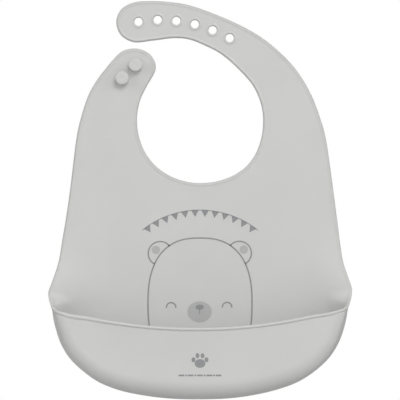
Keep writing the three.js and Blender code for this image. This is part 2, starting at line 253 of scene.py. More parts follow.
class Outline:
    """The sheet's edge with its inward normals, measured along its length."""

    SPAN_STEPS = 24

    def __init__(self):
        knots = np.array(outline_knots(), float)
        points = [self.span(knots, index) for index in range(len(knots))]
        self.xz = np.vstack(points)
        ahead = np.roll(self.xz, -1, axis=0) - np.roll(self.xz, 1, axis=0)
        ahead /= np.linalg.norm(ahead, axis=1)[:, None]
        self.inward = np.column_stack([-ahead[:, 1], ahead[:, 0]])
        step = np.linalg.norm(np.roll(self.xz, -1, axis=0) - self.xz, axis=1)
        self.at = np.concatenate([[0], np.cumsum(step)[:-1]])
        self.length = float(step.sum())
        right_corner = len(POCKET_RIGHT)
        left_corner = len(knots) - len(POCKET_LEFT) - 1
        self.right_seam = self.at[right_corner * self.SPAN_STEPS] + SEAM_RISE
        self.left_seam = self.at[left_corner * self.SPAN_STEPS] - SEAM_RISE

    def span(self, knots, index):
        """Points of the spline from this knot up to the next."""
        p0, p1, p2, p3 = (knots[(index + k) % len(knots)] for k in (-1, 0, 1, 2))
        d0, d1, d2 = (math.sqrt(np.linalg.norm(b - a)) for a, b in ((p0, p1), (p1, p2), (p2, p3)))
        start = ((p1 - p0) / d0 - (p2 - p0) / (d0 + d1) + (p2 - p1) / d1) * d1
        end = ((p2 - p1) / d1 - (p3 - p1) / (d1 + d2) + (p3 - p2) / d2) * d1
        t = np.arange(self.SPAN_STEPS)[:, None] / self.SPAN_STEPS
        return (p1 + start * t + (3 * (p2 - p1) - 2 * start - end) * t ** 2
                + (2 * (p1 - p2) + start + end) * t ** 3)

    def run(self, start, end, step):
        """Evenly spaced points and inward normals from start to end, wrapping past the seam."""
        count = max(2, round((end - start) / step)) + 1
        return self.places(np.linspace(start, end, count))

    def places(self, where):
        """Points and inward normals at these lengths along the edge."""
        columns = [np.interp(where % self.length, self.at, column, period=self.length)
                   for column in (*self.xz.T, *self.inward.T)]
        normals = np.column_stack(columns[2:])
        normals /= np.linalg.norm(normals, axis=1)[:, None]
        return np.column_stack(columns[:2]), normals


OUTLINE = Outline()


def distance_to_line(points, line):
    """Distance of each point to an open run of points."""
    best = np.full(len(points), np.inf)
    for a, b in zip(line[:-1], line[1:]):
        along = b - a
        share = np.clip(((points - a) @ along) / (along @ along), 0, 1)
        best = np.minimum(best, np.linalg.norm(points - a - share[:, None] * along, axis=1))
    return best


def inside(points, loop):
    """Whether each point is inside a closed loop, by counting crossings."""
    within = np.zeros(len(points), bool)
    x, z = points.T
    for (x0, z0), (x1, z1) in zip(loop, np.roll(loop, -1, axis=0)):
        if z0 == z1:
            continue
        crosses = (z0 > z) != (z1 > z)
        within ^= crosses & (x < (x1 - x0) * (z - z0) / (z1 - z0) + x0)
    return within


# ---- the flat sheet --------------------------------------

def curled(x, y, z):
    """The y of a point once the sheet is drawn forward near the mouth's corners.

    The front of the pocket stays where it is.
    """
    pull = 0.0
    for corner in (FLANK_RIGHT[0], FLANK_LEFT[-1]):
        away = np.hypot(x - corner[0], z - corner[1])
        pull = pull + CORNER_CURL * np.exp(-(away / CORNER_REACH) ** 2)
    return y - pull * (1 + y / POCKET_DEPTH)


class Drawing:
    """Points and lines that the sheet's triangles have to follow."""

    def __init__(self):
        self.points = []
        self.lines = []

    def line(self, points, closed=False):
        first = len(self.points)
        self.points += [tuple(p) for p in points]
        last = len(self.points) - 1
        self.lines += [(k, k + 1) for k in range(first, last)]
        if closed:
            self.lines.append((last, first))


def lattice_points():
    """A grid over the sheet, finer where it folds and in the straps."""
    points = []
    for (left, right), (bottom, top), step in (COARSE_GRID, FINE_GRID):
        columns = np.arange(left, right, step)
        points += [(x, z) for z in np.arange(bottom, top, step) for x in columns]
    return np.array(points, float)


def lattice_within(boundary):
    """The grid's points inside the boundary, clear of its rings and of the holes' rings."""
    lattice = lattice_points()
    lattice = lattice[inside(lattice, boundary)]
    closed = np.vstack([boundary, boundary[:1]])
    lattice = lattice[distance_to_line(lattice, closed) > EDGE_RINGS[-1] + GRID_CLEARANCE]
    for centre in HOLE_CENTRES:
        away = np.linalg.norm(lattice - centre, axis=1)
        lattice = lattice[away > HOLE_RADIUS + HOLE_RINGS[-1] + HOLE_CLEARANCE]
    return lattice


def sheet_drawing(edge, normals, seam, low_normals):
    """The rings along the free edge and round the holes, and every seam."""
    drawing = Drawing()
    for distance in EDGE_RINGS:
        drawing.line(edge + distance * normals)
    for end, low_end in ((0, -1), (-1, 0)):
        cut = [edge[end] + d * low_normals[low_end] for d in EDGE_RINGS]
        drawing.line(cut + [seam[low_end]])
    drawing.line(seam)
    for centre in HOLE_CENTRES:
        for distance in HOLE_RINGS:
            turns = [360 * k / HOLE_SIDES for k in range(HOLE_SIDES)]
            ring = [np.add(centre, on_circle(HOLE_RADIUS + distance, turn)) for turn in turns]
            drawing.line(ring, closed=True)
    for degrees in HOLE_SEAMS_DEG + STUD_SEAMS_DEG:
        drawing.line([on_circle(reach, degrees) for reach in SEAM_REACH])
    return drawing


def sheet_triangles():
    """Cuts the sheet into triangles: their points, corners and middles, and the free edge."""
    edge, normals = OUTLINE.run(OUTLINE.right_seam, OUTLINE.left_seam, OUTLINE_STEP)
    _, low_edge, low_normals = pocket_run()
    seam = low_edge + FOOT_MARGIN * low_normals
    drawing = sheet_drawing(edge, normals, seam, low_normals)
    boundary = np.vstack([edge, seam])
    drawing.points += [tuple(p) for p in lattice_within(boundary)]

    coords = [Vector(p) for p in drawing.points]
    points, _, triangles, *_ = delaunay_2d_cdt(coords, drawing.lines, [], 0, SAME_POINT)
    points = np.array([tuple(p) for p in points], float)
    triangles = np.array([t for t in triangles if len(t) == 3], int)
    middles = points[triangles].mean(axis=1)
    keep = inside(middles, boundary)
    for centre in HOLE_CENTRES:
        keep &= np.linalg.norm(middles - centre, axis=1) > HOLE_RADIUS * HOLE_EMPTY
    return points, triangles[keep], middles[keep], edge


def sheet_faces_y(points, edge):
    """The y of the front and of the back at each point of the sheet."""
    to_edge = distance_to_line(points, edge)
    raised = BEAD * bump(to_edge, BEAD_FLAT, BEAD_FOOT)
    front_sunk = sloped(to_edge, EDGE_SLOPE, EDGE_SLOPE_DROP)
    back_sunk = rounding(to_edge, BACK_ROUNDING)
    for centre in HOLE_CENTRES:
        to_hole = np.clip(np.linalg.norm(points - centre, axis=1) - HOLE_RADIUS, 0, None)
        raised = np.maximum(raised, HOLE_RING * bump(to_hole, HOLE_RING_FLAT, HOLE_RING_FOOT))
        front_sunk = np.maximum(front_sunk, sloped(to_hole, HOLE_SLOPE, HOLE_SLOPE_DROP))
        back_sunk = np.maximum(back_sunk, rounding(to_hole, BACK_ROUNDING))
    x, z = points.T
    return curled(x, -(SHEET + raised - front_sunk), z), curled(x, -back_sunk, z)


def skin_of(middles):
    """Which skin piece each triangle of the sheet belongs to."""
    x, z = middles.T
    degrees = np.degrees(np.arctan2(z, x))
    degrees = np.where(degrees < -90, degrees + 360, degrees)
    skin = np.full(len(middles), "front_panel", dtype=object)
    stud_side = (degrees > STUD_SIDE_DEG) & (z < STRAPS_PART_Z)
    for name, seam in zip(STUD_SKINS, STUD_SEAMS_DEG):
        skin[stud_side & (degrees < seam)] = name
    for name, seam in zip(HOLE_SKINS, HOLE_SEAMS_DEG):
        skin[~stud_side & (degrees > seam)] = name
    return skin


def plate_piece(name, points, triangles, front_y, back_y, material):
    """A closed piece of the sheet: its front, its back and a wall round its boundary."""
    used = np.unique(triangles)
    place = {int(v): k for k, v in enumerate(used)}
    local = np.array([[place[int(v)] for v in t] for t in triangles])
    count = len(used)
    front = [(points[v][0], front_y[v], points[v][1]) for v in used]
    back = [(points[v][0], back_y[v], points[v][1]) for v in used]
    faces = [tuple(t) for t in local] + [(c + count, b + count, a + count) for a, b, c in local]
    edges = {(a, b) for t in local for a, b in zip(t, np.roll(t, -1))}
    for a, b in sorted(edges):
        if (b, a) not in edges:
            faces.append((a, a + count, b + count, b))
    return new_object(name, front + back, faces, material)


def sheet_pieces(material):
    """Every skin piece of the flat sheet, by name."""
    points, triangles, middles, edge = sheet_triangles()
    front_y, back_y = sheet_faces_y(points, edge)
    skin = skin_of(middles)
    return {name: plate_piece(name, points, triangles[skin == name], front_y, back_y, material)
            for name in ["front_panel", *STUD_SKINS, *HOLE_SKINS]}


# ---- the catch pocket ------------------------------------

class WallProfile:
    """The pocket wall's section: flat back, round foot, leaning wall, round into the front."""

    def __init__(self, foot_round, lean, front_round):
        self.foot_round = foot_round
        self.lean = lean
        self.front_round = front_round
        self.flat = FOOT_MARGIN - foot_round
        self.foot_arc = foot_round * (math.pi / 2 + lean)
        self.foot_end = self.on_foot(math.pi / 2 + lean, foot_round)
        rest = POCKET_DEPTH - self.foot_end[1] - front_round * (1 - math.sin(lean))
        self.wall_length = rest / math.cos(lean)
        self.turn_start = (self.foot_end[0] + self.wall_length * math.sin(lean),
                           self.foot_end[1] + self.wall_length * math.cos(lean))
        self.wall_end = self.flat + self.foot_arc + self.wall_length
        self.length = self.wall_end + front_round * (math.pi / 2 - lean)
        self.inset = self.turn_start[0] + front_round * math.cos(lean)

    def on_foot(self, turn, radius):
        """Inset and depth of the foot's arc once it has turned this far."""
        return self.foot_round - radius * math.sin(turn), radius * (1 - math.cos(turn))

    def opened(self, reach):
        """Length up to an edge this far forward, and the foot's radius there.

        Short of the foot's own radius the edge hasn't turned forward yet, so the foot is a
        flatter arc that still ends at the outline.
        """
        if reach >= self.foot_round:
            quarter = self.foot_round * math.pi / 2
            return self.flat + quarter + reach - self.foot_round, self.foot_round
        turn = max(2 * math.atan(reach / self.foot_round), LEAST_TURN)
        radius = self.foot_round / math.sin(turn)
        return self.flat + radius * turn, radius

    def at(self, way, radius):
        """Inset from the outline, depth, and heading, 0 forwards and a right angle inwards."""
        if way <= self.flat:
            return FOOT_MARGIN - way, 0.0, -math.pi / 2
        done = way - self.flat
        if radius > self.foot_round or done <= self.foot_arc:
            turn = done / radius
            return *self.on_foot(turn, radius), turn - math.pi / 2
        if way <= self.wall_end:
            done -= self.foot_arc
            return (self.foot_end[0] + done * math.sin(self.lean),
                    self.foot_end[1] + done * math.cos(self.lean), self.lean)
        heading = min(self.lean + (way - self.wall_end) / self.front_round, math.pi / 2)
        return (self.turn_start[0] + self.front_round * (math.cos(self.lean) - math.cos(heading)),
                self.turn_start[1] + self.front_round * (math.sin(heading) - math.sin(self.lean)),
                heading)


def pocket_run():
    """Places from the left seam, round under the pocket, to the right seam."""
    start = OUTLINE.left_seam - OUTLINE.length
    length = OUTLINE.right_seam - start
    near = np.arange(0, CORNER_LENGTH, CORNER_STEP)
    count = round((length - 2 * CORNER_LENGTH) / POCKET_STEP)
    middle = np.linspace(CORNER_LENGTH, length - CORNER_LENGTH, count)
    ways = np.concatenate([near, middle, length - near[::-1]])
    feet, _ = OUTLINE.places(start + ways)
    spread = np.linspace(-STEADY_LENGTH, STEADY_LENGTH, STEADY_STEPS)
    normals = sum(OUTLINE.places(start + ways + shift)[1] for shift in spread)
    normals /= np.linalg.norm(normals, axis=1)[:, None]
    return ways, feet, normals


def from_seams(ways):
    """How far each place is from the nearer of the two seams."""
    return np.minimum(ways, ways[-1] - ways)


def rim_z(x):
    """The height of the rim's top edge across the front."""
    corner, over = RIM_CORNER_X
    flattened = RIM_CORNER_DROP * smooth((abs(x) - corner) / over)
    return RIM_MIDDLE_Z + RIM_RISE * x * x + RIM_LEFT_DROP * min(x, 0.0) - flattened


def wall_share(done):
    """How far round the side wall the mouth's edge has come, as it drops from corner to front."""
    return 1 - (1 - done ** MOUTH_EASE) ** MOUTH_EASE


def front_lean(x, climb):
    """How far the front stands out at x, climb mm above its rounded lower edge."""
    middle, spread = GAPE_X
    gape = FRONT_LEFT_SWELL * math.exp(-((x - middle) / spread) ** 2)
    return (FRONT_SWELL + gape) * (climb / FRONT_SWELL_CLIMB) ** 2


class PocketLine:
    """One line over the pocket's outside, from the sheet's back to the rim.

    Its forward goes from 0, where its end is the sheet's plain edge, to 1, where it is the rim.
    Its proud is how much of the end's bead stands outside, all of it where the end faces forward.
    """

    def __init__(self, foot, inward, from_corner):
        self.foot = foot
        self.inward = inward
        sideways = inward[0] ** 2
        near = math.exp(-(from_corner / CORNER_FADE) ** 2)
        foot_round = BACK_ROUND + (CORNER_ROUND - BACK_ROUND) * near
        self.profile = WallProfile(foot_round, SIDE_LEAN * sideways,
                                   FRONT_ROUND - SIDE_TIGHTER * sideways)
        self.foot_radius = foot_round
        self.turn_point = foot + self.profile.inset * inward
        self.length = self.profile.length
        self.forward = 1.0
        self.proud = 1.0

    def climb_to(self, rim_point):
        """Carries the line on up the front to the rim."""
        self.rim_point = rim_point
        self.climb = float(np.linalg.norm(rim_point - self.turn_point))
        self.length += self.climb

    def stop_at(self, share):
        """Ends the line on the side wall, that share of the way from the sheet to the front."""
        whole = self.profile.length - self.profile.flat - self.foot_radius * (math.pi / 2 - 1)
        self.length, self.foot_radius = self.profile.opened(share * whole)
        self.forward = smooth(share * RIM_FORMED)
        heading = self.profile.at(self.length, self.foot_radius)[2]
        self.proud = max(math.sin(heading), 0.0)

    def at(self, way):
        """The point and outward normal that far along the line."""
        climb = way - self.profile.length
        if climb > LEAST_CLIMB:
            share = climb / self.climb
            x, z = self.turn_point + share * (self.rim_point - self.turn_point)
            point = np.array([x, -POCKET_DEPTH - front_lean(x, climb), z])
            return point, np.array([0.0, -1.0, 0.0])
        inset, depth, heading = self.profile.at(way, self.foot_radius)
        x, z = self.foot + inset * self.inward
        nx, nz = -math.cos(heading) * self.inward
        return np.array([x, -depth, z]), np.array([nx, -math.sin(heading), nz])


def pocket_lines():
    """The pocket's lines from the left seam to the right seam."""
    ways, feet, normals = pocket_run()
    from_corner = np.clip(from_seams(ways) - SEAM_RISE, 0, None)
    lines = [PocketLine(*parts) for parts in zip(feet, normals, from_corner)]
    below = [line.turn_point[1] < rim_z(line.turn_point[0]) for line in lines]
    first = below.index(True)
    last = len(lines) - 1 - below[::-1].index(True)
    left_x, right_x = lines[first].turn_point[0], lines[last].turn_point[0]
    for index, (way, line) in enumerate(zip(ways, lines)):
        if index < first:
            line.stop_at(wall_share(from_corner[index] / from_corner[first]))
        elif index > last:
            line.stop_at(wall_share(from_corner[index] / from_corner[last]))
        else:
            x = left_x + (right_x - left_x) * (way - ways[first]) / (ways[last] - ways[first])
            line.climb_to(np.array([x, rim_z(x)]))
    return lines


def rim_band(lines):
    """How much longer than RIM_BAND the rim's band is along each line.

    A line that meets the rim at a slant needs more, so that the band is equally wide.
    """
    ends = np.array([line.at(line.length)[0] for line in lines])
    along = np.gradient(ends, axis=0)
    bands = []
    wider_from, wider_over = RIM_WIDER_X
    for line, end, direction in zip(lines, ends, along):
        across = end - line.at(line.length - RIM_PROBE)[0]
        sine = np.linalg.norm(np.cross(across, direction))
        sine /= np.linalg.norm(across) * np.linalg.norm(direction)
        wider = 1 + RIM_WIDER_LEFT * smooth((-end[0] - wider_from) / wider_over)
        longest = RIM_LONGEST * line.length / RIM_BAND
        bands.append(min(wider / max(sine, RIM_SHARPEST), longest))
    padded = np.pad(bands, RIM_STEADY // 2, mode="edge")
    return np.convolve(padded, np.ones(RIM_STEADY) / RIM_STEADY, mode="valid")


def pocket_section(line, stretch):
    """The closed run of points round the wall at one line: outside up, then inside down."""
    plain = line.length - RIM_BAND * stretch
    ways = [plain * k / WALL_ROWS for k in range(WALL_ROWS)]
    ways += [line.length - q * stretch for q in RIM_ROWS]
    edges = np.array([RIM_BAND + 1] * WALL_ROWS + RIM_ROWS)
    forward = line.forward
    raised = (BEAD + (RIM_BEAD - BEAD) * line.proud) * bump(edges, BEAD_FLAT, BEAD_FOOT)
    rim_round = rounding(edges, RIM_ROUNDING)
    outer_sunk = (1 - forward) * rounding(edges, BACK_ROUNDING) + forward * rim_round
    inner_sunk = (1 - forward) * sloped(edges, EDGE_SLOPE, EDGE_SLOPE_DROP) + forward * rim_round
    outer_offset = raised * line.proud - outer_sunk
    inner_offset = -(SHEET + raised * (1 - INNER_BEAD_LESS * line.proud) - inner_sunk)
    places = [line.at(way) for way in ways]
    outer = [point + normal * offset for (point, normal), offset in zip(places, outer_offset)]
    inner = [point + normal * offset for (point, normal), offset in zip(places, inner_offset)]
    return [(x, curled(x, y, z), z) for x, y, z in outer + inner[::-1]]


def relaxed(sections):
    """Evens out the lines near the mouth's corners, where the wall opens up quickly."""
    grid = np.array(sections)
    rows = np.arange(grid.shape[1])
    away = from_seams(pocket_run()[0])
    near = smooth(away / RELAX_EASE) * (1 - smooth(away / CORNER_LENGTH))
    loose = smooth(np.minimum(rows, rows[::-1]) / RELAX_ROWS)
    weight = RELAX_STEP * np.outer(near, loose)[1:-1, :, None]
    for _ in range(RELAX_ROUNDS):
        between = (grid[:-2] + grid[2:]) / 2
        grid[1:-1] += weight * (between - grid[1:-1])
    return grid


def pocket_shell(material):
    """The pocket as one closed skin: its walls, floor and front, with the sheet's low rim."""
    lines = pocket_lines()
    stretches = rim_band(lines)
    sections = relaxed([pocket_section(line, s) for line, s in zip(lines, stretches)])
    size = len(sections[0])
    points = [p for section in sections for p in section]
    faces = []
    for k in range(len(sections) - 1):
        for j in range(size):
            a, b = k * size + j, k * size + (j + 1) % size
            faces.append((a, b, b + size, a + size))
    faces.append(tuple(reversed(range(size))))
    faces.append(tuple(range((len(sections) - 1) * size, len(sections) * size)))
    return new_object("pocket_shell", points, faces, material)


# ---- studs -----------------------------------------------

# Radius and height over the sheet, from the rim of the foot to the dimple in the head.
STUD_PROFILE = [
    (5.6, 0.0), (4.7, 0.12), (3.9, 0.4), (3.35, 0.85), (3.0, 1.5), (2.88, 2.2), (2.85, 2.8),
    (2.95, 3.15), (3.3, 3.35), (4.4, 3.45), (4.85, 3.6), (5.12, 3.95), (5.22, 4.5), (5.24, 5.4),
    (5.18, 5.85), (5.0, 6.2), (4.72, 6.45), (4.3, 6.57), (3.6, 6.6), (2.0, 6.56), (0.8, 6.55),
    (0.45, 6.45),
]
STUD_SIDES = 56


def stud(name, centre, material):
    """A soft mushroom peg: filleted foot, stem, flat-topped head with a moulding dimple."""
    points, faces = [], []
    base = -SHEET + STUD_SINK
    for radius, height in STUD_PROFILE:
        for k in range(STUD_SIDES):
            dx, dz = on_circle(radius, 360 * k / STUD_SIDES)
            points.append((centre[0] + dx, base - height, centre[1] + dz))
    for ring in range(len(STUD_PROFILE) - 1):
        for k in range(STUD_SIDES):
            a, b = ring * STUD_SIDES + k, ring * STUD_SIDES + (k + 1) % STUD_SIDES
            faces.append((a, b, b + STUD_SIDES, a + STUD_SIDES))
    top = (len(STUD_PROFILE) - 1) * STUD_SIDES
    faces.append(tuple(range(top, top + STUD_SIDES)))
    faces.append(tuple(reversed(range(STUD_SIDES))))
    return new_object(name, points, faces, material)


# ---- printed ink -----------------------------------------

# A shape's centre is its (x, z), and its half is half its width and half its height.
INK_LIFT = 0.12             # half the film's thickness
INK_LINE = 1.05             # width of a drawn line
FACE_CENTRE = (0.0, -140.0)
FACE_HALF = (39.6, 50.2)
FACE_ARCH_DEG = (-38, 218)  # the face is open below, inside the pocket
FACE_SQUARENESS = 2.5       # 2 would make the face's outline an ellipse
EAR_CENTRES = [(-30.3, -101.6), (30.0, -101.4)]
EAR_RADIUS = 9.1
EAR_ARCS_DEG = [(41, 239), (-59, 139)]
EAR_FILL_RADIUS = 3.2
EAR_FILL_SHIFT = 4.3        # from the ear's centre, at these angles
EAR_FILL_DEG = [140, 40]
EYE_CENTRES = [(-22.0, -142.6), (20.6, -142.4)]
EYE_RADIUS = 3.6
MUZZLE_CENTRE = (-0.3, -146.0)
MUZZLE_HALF = (9.3, 8.0)
NOSE_CENTRE = (-0.3, -142.4)
NOSE_HALF = (3.2, 2.0)
NOSE_STEM = 3.0
NOSE_LINE = 0.7
NOSE_RAISED = 0.6           # of the film's lift, so that it lies over the muzzle
GARLAND_CENTRE = (0.0, -139.5)
GARLAND_RADIUS = 71.0
GARLAND_HALF_DEG = 38.0
GARLAND_STRING = 0.55       # width of its string
GARLAND_FLAGS = 12
FLAG_LENGTH = 5.2
FLAG_TUCK = 0.1             # a flag begins this far under its string's middle
FLAG_HALF_WIDTH = 0.36      # as a share of the space for one flag
MARK_CENTRE = (0.0, -182.6)
PAD_BELOW = 1.6
PAD_HALF = (4.0, 3.3)
TOE_SHIFTS = [(-4.9, 1.2), (-1.9, 4.3), (1.9, 4.3), (4.9, 1.2)]
TOE_HALF = (1.45, 1.9)
MARK_ROW_Z = -193.2
MARK_ROW_STEP = 7.0
DASH_HALF = 1.6
DASH_LINE = 1.3
DOT_RADIUS = 0.75


def belly_y(x, z):
    """The flat front of the sheet."""
    return -SHEET


def nose_y(x, z):
    """A little in front of the muzzle's film."""
    return belly_y(x, z) - NOSE_RAISED * INK_LIFT


def pocket_front_y(x, z):
    """The outside of the pocket's front."""
    climb = max(z - (POCKET_RIGHT[0][1] + FRONT_ROUND), 0.0)
    return -POCKET_DEPTH - front_lean(x, climb)


def ellipse(centre, half, from_deg=0.0, to_deg=360.0, steps=64):
    """Points on an ellipse or on an arc of it. A whole one ends where it began."""
    angles = np.radians(np.linspace(from_deg, to_deg, steps + 1))
    return [(centre[0] + half[0] * math.cos(a), centre[1] + half[1] * math.sin(a))
            for a in angles]


def circle(centre, radius, from_deg=0.0, to_deg=360.0, steps=64):
    return ellipse(centre, (radius, radius), from_deg, to_deg, steps)


def face_outline():
    """A rounded arch, fuller at its shoulders than an ellipse."""
    power = 2 / FACE_SQUARENESS
    arch = []
    for x, z in circle((0, 0), 1, *FACE_ARCH_DEG, steps=120):
        arch.append((FACE_CENTRE[0] + FACE_HALF[0] * math.copysign(abs(x) ** power, x),
                     FACE_CENTRE[1] + FACE_HALF[1] * math.copysign(abs(z) ** power, z)))
    return arch


def ear_fills():
    """A dot in each ear, clear of the face's outline."""
    dots = []
    for centre, degrees in zip(EAR_CENTRES, EAR_FILL_DEG):
        middle = np.add(centre, on_circle(EAR_FILL_SHIFT, degrees))
        dots.append(circle(middle, EAR_FILL_RADIUS)[:-1])
    return dots


def muzzle():
    """A soft oval that the nose is printed over."""
    return [ellipse(MUZZLE_CENTRE, MUZZLE_HALF)[:-1]]


def nose():
    """A small oval with a short stem below it."""
    x, z = NOSE_CENTRE
    stem = [(x, z - NOSE_HALF[1] - k * NOSE_STEM / 2) for k in range(3)]
    return [ellipse(NOSE_CENTRE, NOSE_HALF, steps=40)[:-1], stroke_outline(stem, NOSE_LINE)]


def film(outlines, surface):
    """Points and faces of closed ink films lying on a surface of the bib."""
    points, faces = [], []
    for outline in outlines:
        start, count = len(points), len(outline)
        points += [(x, surface(x, z) - INK_LIFT, z) for x, z in outline]
        points += [(x, surface(x, z) + INK_LIFT, z) for x, z in outline]
        faces.append(tuple(range(start, start + count)))
        faces.append(tuple(reversed(range(start + count, start + 2 * count))))
        for k in range(count):
            a, b = start + k, start + (k + 1) % count
            faces.append((a, a + count, b + count, b))
    return points, faces


def counter_clockwise(outline):
    """The outline, turned round if it runs the other way."""
    x, z = np.array(outline).T
    area = np.sum(x * np.roll(z, -1) - z * np.roll(x, -1))
    return outline if area > 0 else outline[::-1]


def stroke_outline(line, width):
    """The closed outline of a line of ink with rounded ends."""
    line = np.array(line, float)
    ahead = np.gradient(line, axis=0)
    ahead /= np.linalg.norm(ahead, axis=1)[:, None]
    half = width / 2
    side = half * np.column_stack([-ahead[:, 1], ahead[:, 0]])
    left, right = line + side, line - side
    caps = []
    for end, direction in ((line[-1], ahead[-1]), (line[0], -ahead[0])):
        heading = math.degrees(math.atan2(direction[1], direction[0]))
        caps.append([tuple(end + on_circle(half, heading - 90 + 30 * k)) for k in range(1, 6)])
    outline = [tuple(p) for p in right] + caps[0] + [tuple(p) for p in left[::-1]] + caps[1]
    return counter_clockwise(outline)


def ink_piece(name, outlines, surface, material):
    """One printed film, made of closed outlines."""
    points, faces = film([counter_clockwise(o) for o in outlines], surface)
    return new_object(name, points, faces, material, sharp_deg=30)


def face_lines():
    """The face's outline, its two ears and its two closed eyes."""
    lines = [face_outline()]
    for centre, arc in zip(EAR_CENTRES, EAR_ARCS_DEG):
        lines.append(circle(centre, EAR_RADIUS, *arc, steps=48))
    for centre in EYE_CENTRES:
        lines.append(circle(centre, EYE_RADIUS, 0, 180, steps=24))
    return [stroke_outline(line, INK_LINE) for line in lines]


def garland():
    """A string of small flags over the face, on an arc."""
    first, last = 90 - GARLAND_HALF_DEG, 90 + GARLAND_HALF_DEG
    string = circle(GARLAND_CENTRE, GARLAND_RADIUS, first, last, steps=60)
    outlines = [stroke_outline(string, GARLAND_STRING)]
    step = (last - first) / GARLAND_FLAGS
    half = FLAG_HALF_WIDTH * step
    for k in range(GARLAND_FLAGS):
        middle = first + step * (k + 0.5)
        flag = [on_circle(GARLAND_RADIUS - FLAG_TUCK, middle - half),
                on_circle(GARLAND_RADIUS - FLAG_TUCK, middle + half),
                on_circle(GARLAND_RADIUS - FLAG_LENGTH, middle)]
        outlines.append([tuple(np.add(GARLAND_CENTRE, p)) for p in flag])
    return outlines


def paw_mark():
    """A plain paw print: a pad and four toes, over a short row of dots and dashes."""
    x, z = MARK_CENTRE
    outlines = [ellipse((x, z - PAD_BELOW), PAD_HALF)[:-1]]
    for dx, dz in TOE_SHIFTS:
        outlines.append(ellipse((x + dx, z + dz), TOE_HALF, steps=32)[:-1])
    for k in range(-2, 3):
        middle = MARK_ROW_STEP * k
        dash = [(middle + shift, MARK_ROW_Z) for shift in (-DASH_HALF, 0, DASH_HALF)]
        outlines.append(stroke_outline(dash, DASH_LINE))
    for k in (-1.5, -0.5, 0.5, 1.5):
        outlines.append(circle((MARK_ROW_STEP * k, MARK_ROW_Z), DOT_RADIUS, steps=20)[:-1])
    return outlines


# ---- materials -------------------------------------------

# Noise seldom leaves this range. Colours are linear, scales per metre, bumps in metres.
NOISE_RANGE = (0.3, 0.7)
SILICONE_DARK, SILICONE_LIGHT = (0.572, 0.572, 0.563), (0.590, 0.590, 0.580)
FLOOR_DARK, FLOOR_LIGHT = (0.60, 0.60, 0.60), (0.62, 0.62, 0.62)
LINE_INK = ((0.25, 0.255, 0.26), (0.30, 0.305, 0.31))
SOFT_INK = ((0.42, 0.42, 0.42), (0.45, 0.45, 0.45))


def node_material(name):
    """A new material with its node tree, its shader and the place that textures start from."""
    material = bpy.data.materials.new(name)
    material.use_nodes = True
    tree = material.node_tree
    shader = tree.nodes["Principled BSDF"]
    place = tree.nodes.new("ShaderNodeTexCoord")
    return material, tree, shader, place.outputs["Object"]


def noise(tree, place, scale, detail):
    texture = tree.nodes.new("ShaderNodeTexNoise")
    texture.inputs["Scale"].default_value = scale
    texture.inputs["Detail"].default_value = detail
    tree.links.new(place, texture.inputs["Vector"])
    return texture.outputs["Fac"]


def mapped(tree, value, low, high, given=NOISE_RANGE):
    """Spreads a value, which runs over the given range, over low to high."""
    mapping = tree.nodes.new("ShaderNodeMapRange")
    mapping.inputs["From Min"].default_value = given[0]
    mapping.inputs["From Max"].default_value = given[1]
    mapping.inputs["To Min"].default_value = low
    mapping.inputs["To Max"].default_value = high
    tree.links.new(value, mapping.inputs["Value"])
    return mapping.outputs["Result"]


def two_tone(tree, value, dark, light):
    mix = tree.nodes.new("ShaderNodeMix")
    mix.data_type = "RGBA"
    mix.inputs["A"].default_value = (*dark, 1)
    mix.inputs["B"].default_value = (*light, 1)
    tree.links.new(value, mix.inputs["Factor"])
    return mix.outputs["Result"]


def bumped(tree, value, strength, distance, base=None):
    node = tree.nodes.new("ShaderNodeBump")
    node.inputs["Strength"].default_value = strength
    node.inputs["Distance"].default_value = distance
    tree.links.new(value, node.inputs["Height"])
    if base is not None:
        tree.links.new(base, node.inputs["Normal"])
    return node.outputs["Normal"]


def silicone_material():
    """Soft matte silicone: a faint cloudiness, a fine blasted grain and a powdery sheen."""
    material, tree, shader, place = node_material("silicone_grey")
    cloud = mapped(tree, noise(tree, place, scale=22, detail=3), 0, 1)
    tree.links.new(two_tone(tree, cloud, SILICONE_DARK, SILICONE_LIGHT),
                   shader.inputs["Base Color"])
    rough = mapped(tree, noise(tree, place, scale=160, detail=2), 0.5, 0.6)
    tree.links.new(rough, shader.inputs["Roughness"])
    blasted = noise(tree, place, scale=2600, detail=2)
    grain = bumped(tree, blasted, strength=0.25, distance=0.00006)
    rolling = noise(tree, place, scale=60, detail=1)
    waves = bumped(tree, rolling, strength=0.25, distance=0.0004, base=grain)
    tree.links.new(waves, shader.inputs["Normal"])
    shader.inputs["Specular IOR Level"].default_value = 0.35
    shader.inputs["Sheen Weight"].default_value = 0.08
    shader.inputs["Sheen Roughness"].default_value = 0.6
    return material


def ink_material(name, dark, light):
    """Thin matte ink with a slightly uneven coverage."""
    material, tree, shader, place = node_material(name)
    cover = mapped(tree, noise(tree, place, scale=900, detail=3), 0, 1)
    tree.links.new(two_tone(tree, cover, dark, light), shader.inputs["Base Color"])
    rough = mapped(tree, noise(tree, place, scale=500, detail=2), 0.55, 0.68)
    tree.links.new(rough, shader.inputs["Roughness"])
    blasted = noise(tree, place, scale=2600, detail=2)
    grain = bumped(tree, blasted, strength=0.2, distance=0.00004)
    tree.links.new(grain, shader.inputs["Normal"])
    shader.inputs["Specular IOR Level"].default_value = 0.3
    return material


def floor_material():
    """Plain pale matte board."""
    material, tree, shader, place = node_material("floor_white")
    cloud = mapped(tree, noise(tree, place, scale=3, detail=2), 0, 1)
    tree.links.new(two_tone(tree, cloud, FLOOR_DARK, FLOOR_LIGHT), shader.inputs["Base Color"])
    shader.inputs["Roughness"].default_value = 0.8
    return material


# ---- stage: floor, lights, camera ------------------------

